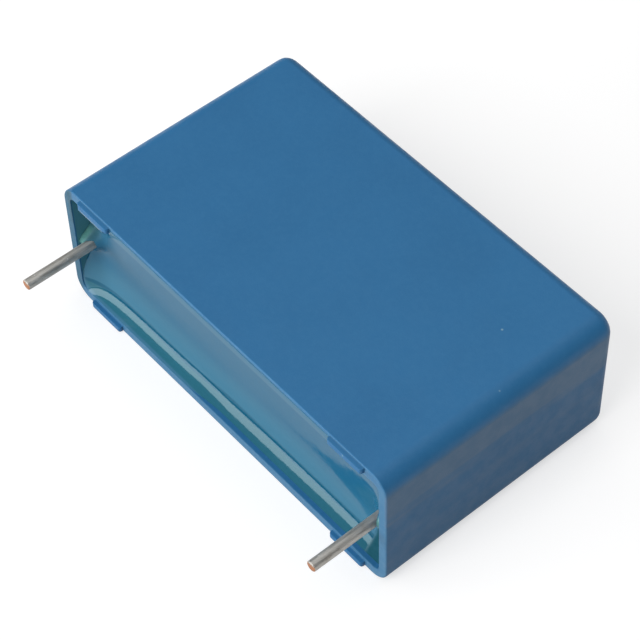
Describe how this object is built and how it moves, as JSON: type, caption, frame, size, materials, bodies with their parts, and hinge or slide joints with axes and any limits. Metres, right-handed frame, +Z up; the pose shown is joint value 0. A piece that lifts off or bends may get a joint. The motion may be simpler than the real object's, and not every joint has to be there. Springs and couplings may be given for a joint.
{
  "type": "box film capacitor",
  "caption": "Box film capacitor: moulded rectangular case potted with resin, with standoff feet on its rim and a straight wire lead at each end of its open side.",
  "frame": {"origin": "middle of the footprint of the whole part, on the surface that it lies on", "axes": "+X along the case from the left lead to the right lead, -Y out of the open side the way the leads point, +Z up through the thickness of the case"},
  "size_m": [0.0412, 0.0308, 0.0139],
  "materials": {
    "case_plastic": "satin moulded",
    "potting_resin": "glossy cast",
    "wound_film": "satin",
    "sprayed_metal": "matte sprayed",
    "tinned_wire": "satin tinned"
  },
  "bodies": {
    "root": {"case": "case_plastic", "resin_fill": "potting_resin", "film_winding": "wound_film", "end_contact_left": "sprayed_metal", "end_contact_right": "sprayed_metal", "lead_left": "tinned_wire", "lead_right": "tinned_wire"}
  },
  "joints": []
}
